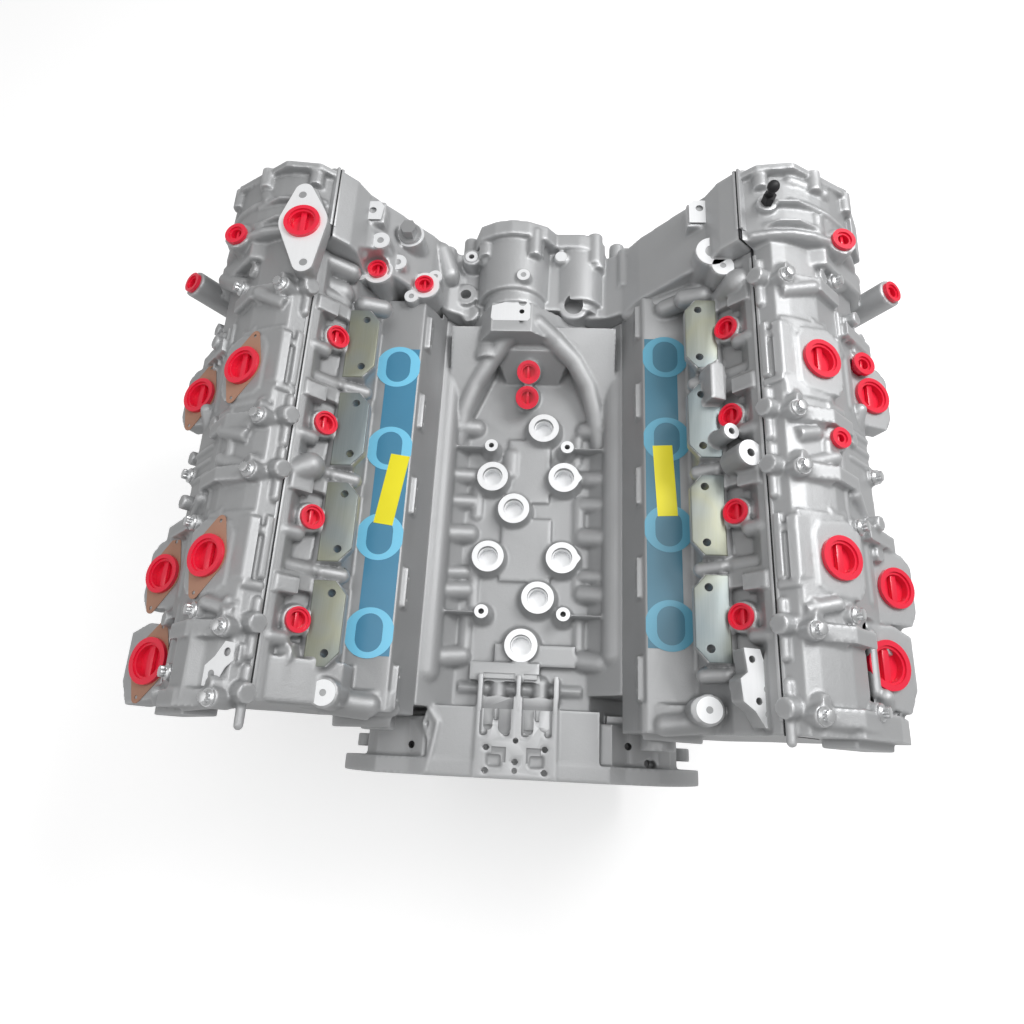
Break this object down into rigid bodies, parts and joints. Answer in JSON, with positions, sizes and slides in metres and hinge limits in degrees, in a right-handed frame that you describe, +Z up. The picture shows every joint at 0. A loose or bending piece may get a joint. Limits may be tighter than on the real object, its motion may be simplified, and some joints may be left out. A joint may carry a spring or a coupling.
{
  "type": "v8 engine long block",
  "caption": "Ninety degree V8 long block with cast alloy block, heads, cam covers, timing case and a turning crank train.",
  "frame": {"origin": "on the crank axis at the block's rear face, the mouth of the crank's pilot bore", "axes": "+X to the right bank, +Y to the timing end, +Z up"},
  "size_m": [0.8488, 0.704, 0.5828],
  "materials": {
    "cast_aluminium": "as-cast, lightly grained",
    "forged_steel": "forged and ground",
    "bearing": "smooth",
    "zinc_steel": "bright zinc",
    "black_rubber": "matt",
    "steel_gasket": "coated",
    "red_plastic": "moulded",
    "blue_film": "thin clear film",
    "yellow_label": "bare label",
    "brown_gasket": "fibre and metal",
    "dark_plastic": "moulded nylon",
    "piston_alloy": "machined",
    "chain_steel": "oiled",
    "black_steel": "black oxide",
    "ceramic": "glazed, with plated shell"
  },
  "bodies": {
    "engine": {"cylinder_block": "cast_aluminium", "main_bearing_caps": "forged_steel", "main_bearings": "bearing", "main_cap_bolts": "zinc_steel", "crank_seals": "black_rubber", "oil_pan": "cast_aluminium", "drain_plug": "zinc_steel", "head_gasket_left": "steel_gasket", "head_gasket_right": "steel_gasket", "head_left": "cast_aluminium", "head_right": "cast_aluminium", "cover_gasket_left": "black_rubber", "cover_gasket_right": "black_rubber", "cam_cover_left": "cast_aluminium", "cam_cover_right": "cast_aluminium", "cover_bolts": "zinc_steel", "front_cover": "cast_aluminium", "timing_chain_left": "chain_steel", "timing_chain_right": "chain_steel", "chain_guides": "dark_plastic", "intake_valves": "forged_steel", "exhaust_valves": "forged_steel", "valve_springs": "forged_steel", "valve_lifters": "zinc_steel", "spark_plugs": "ceramic", "valley_plugs": "zinc_steel", "small_caps": "red_plastic", "large_caps": "red_plastic", "valley_caps": "red_plastic", "port_gaskets": "brown_gasket", "port_film_left": "blue_film", "port_film_right": "blue_film", "stickers": "yellow_label", "ball_stud": "black_steel", "idler_bolt": "zinc_steel", "pipe_stubs": "zinc_steel"},
    "crank": {"crankshaft": "forged_steel", "crank_sprocket": "forged_steel", "crank_damper": "black_steel", "damper_bolt": "zinc_steel"},
    "rod_1": {"conrod_1": "forged_steel"},
    "piston_body_1": {"piston_1": "piston_alloy"},
    "rod_2": {"conrod_2": "forged_steel"},
    "piston_body_2": {"piston_2": "piston_alloy"},
    "rod_3": {"conrod_3": "forged_steel"},
    "piston_body_3": {"piston_3": "piston_alloy"},
    "rod_4": {"conrod_4": "forged_steel"},
    "piston_body_4": {"piston_4": "piston_alloy"},
    "rod_5": {"conrod_5": "forged_steel"},
    "piston_body_5": {"piston_5": "piston_alloy"},
    "rod_6": {"conrod_6": "forged_steel"},
    "piston_body_6": {"piston_6": "piston_alloy"},
    "rod_7": {"conrod_7": "forged_steel"},
    "piston_body_7": {"piston_7": "piston_alloy"},
    "rod_8": {"conrod_8": "forged_steel"},
    "piston_body_8": {"piston_8": "piston_alloy"},
    "cam_in_left": {"camshaft_in_left": "forged_steel"},
    "cam_ex_left": {"camshaft_ex_left": "forged_steel"},
    "cam_in_right": {"camshaft_in_right": "forged_steel"},
    "cam_ex_right": {"camshaft_ex_right": "forged_steel"}
  },
  "joints": [
    {"name": "crank_turn", "type": "hinge", "parent": "engine", "child": "crank", "pos_m": [0, 0, 0], "axis": [0, 1, 0], "range_deg": [-10, 10], "deforming": ["timing_chain_left", "timing_chain_right"]},
    {"name": "rod_1_swing", "type": "hinge", "parent": "crank", "child": "rod_1", "pos_m": [0, 0.14, 0.043], "axis": [0, 1, 0], "range_deg": [-13, 13]},
    {"name": "piston_1_slide", "type": "slide", "parent": "engine", "child": "piston_body_1", "axis": [-0.7071, 0, 0.7071], "range_m": [-0.008, 0.008]},
    {"name": "rod_2_swing", "type": "hinge", "parent": "crank", "child": "rod_2", "pos_m": [0, 0.16, 0.043], "axis": [0, 1, 0], "range_deg": [-13, 13]},
    {"name": "piston_2_slide", "type": "slide", "parent": "engine", "child": "piston_body_2", "axis": [0.7071, 0, 0.7071], "range_m": [-0.008, 0.008]},
    {"name": "rod_3_swing", "type": "hinge", "parent": "crank", "child": "rod_3", "pos_m": [0.043, 0.246, 0], "axis": [0, 1, 0], "range_deg": [-13, 13]},
    {"name": "piston_3_slide", "type": "slide", "parent": "engine", "child": "piston_body_3", "axis": [-0.7071, 0, 0.7071], "range_m": [-0.008, 0.008]},
    {"name": "rod_4_swing", "type": "hinge", "parent": "crank", "child": "rod_4", "pos_m": [0.043, 0.266, 0], "axis": [0, 1, 0], "range_deg": [-13, 13]},
    {"name": "piston_4_slide", "type": "slide", "parent": "engine", "child": "piston_body_4", "axis": [0.7071, 0, 0.7071], "range_m": [-0.008, 0.008]},
    {"name": "rod_5_swing", "type": "hinge", "parent": "crank", "child": "rod_5", "pos_m": [-0.043, 0.352, 0], "axis": [0, 1, 0], "range_deg": [-13, 13]},
    {"name": "piston_5_slide", "type": "slide", "parent": "engine", "child": "piston_body_5", "axis": [-0.7071, 0, 0.7071], "range_m": [-0.008, 0.008]},
    {"name": "rod_6_swing", "type": "hinge", "parent": "crank", "child": "rod_6", "pos_m": [-0.043, 0.372, 0], "axis": [0, 1, 0], "range_deg": [-13, 13]},
    {"name": "piston_6_slide", "type": "slide", "parent": "engine", "child": "piston_body_6", "axis": [0.7071, 0, 0.7071], "range_m": [-0.008, 0.008]},
    {"name": "rod_7_swing", "type": "hinge", "parent": "crank", "child": "rod_7", "pos_m": [0, 0.458, -0.043], "axis": [0, 1, 0], "range_deg": [-13, 13]},
    {"name": "piston_7_slide", "type": "slide", "parent": "engine", "child": "piston_body_7", "axis": [-0.7071, 0, 0.7071], "range_m": [-0.008, 0.008]},
    {"name": "rod_8_swing", "type": "hinge", "parent": "crank", "child": "rod_8", "pos_m": [0, 0.478, -0.043], "axis": [0, 1, 0], "range_deg": [-13, 13]},
    {"name": "piston_8_slide", "type": "slide", "parent": "engine", "child": "piston_body_8", "axis": [0.7071, 0, 0.7071], "range_m": [-0.008, 0.008]},
    {"name": "in_left_cam_turn", "type": "hinge", "parent": "engine", "child": "cam_in_left", "pos_m": [-0.24119, 0.3, 0.2777], "axis": [0, 1, 0], "range_deg": [-5.5, 5.5]},
    {"name": "ex_left_cam_turn", "type": "hinge", "parent": "engine", "child": "cam_ex_left", "pos_m": [-0.29251, 0.3, 0.22224], "axis": [0, 1, 0], "range_deg": [-5.5, 5.5]},
    {"name": "in_right_cam_turn", "type": "hinge", "parent": "engine", "child": "cam_in_right", "pos_m": [0.24119, 0.3, 0.2777], "axis": [0, 1, 0], "range_deg": [-5.5, 5.5]},
    {"name": "ex_right_cam_turn", "type": "hinge", "parent": "engine", "child": "cam_ex_right", "pos_m": [0.29251, 0.3, 0.22224], "axis": [0, 1, 0], "range_deg": [-5.5, 5.5]}
  ],
  "couplings": [
    {"joint": "rod_1_swing", "follows": "crank_turn", "ratio": -1.2145},
    {"joint": "piston_1_slide", "follows": "crank_turn", "m_per_rad": -0.036926},
    {"joint": "rod_2_swing", "follows": "crank_turn", "ratio": -1.2145},
    {"joint": "piston_2_slide", "follows": "crank_turn", "m_per_rad": 0.036926},
    {"joint": "rod_3_swing", "follows": "crank_turn", "ratio": -0.78554},
    {"joint": "piston_3_slide", "follows": "crank_turn", "m_per_rad": -0.023885},
    {"joint": "rod_4_swing", "follows": "crank_turn", "ratio": -1.2145},
    {"joint": "piston_4_slide", "follows": "crank_turn", "m_per_rad": -0.036926},
    {"joint": "rod_5_swing", "follows": "crank_turn", "ratio": -1.2145},
    {"joint": "piston_5_slide", "follows": "crank_turn", "m_per_rad": 0.036926},
    {"joint": "rod_6_swing", "follows": "crank_turn", "ratio": -0.78554},
    {"joint": "piston_6_slide", "follows": "crank_turn", "m_per_rad": 0.023885},
    {"joint": "rod_7_swing", "follows": "crank_turn", "ratio": -0.78554},
    {"joint": "piston_7_slide", "follows": "crank_turn", "m_per_rad": 0.023885},
    {"joint": "rod_8_swing", "follows": "crank_turn", "ratio": -0.78554},
    {"joint": "piston_8_slide", "follows": "crank_turn", "m_per_rad": -0.023885},
    {"joint": "in_left_cam_turn", "follows": "crank_turn", "ratio": 0.5},
    {"joint": "ex_left_cam_turn", "follows": "crank_turn", "ratio": 0.5},
    {"joint": "in_right_cam_turn", "follows": "crank_turn", "ratio": 0.5},
    {"joint": "ex_right_cam_turn", "follows": "crank_turn", "ratio": 0.5}
  ]
}
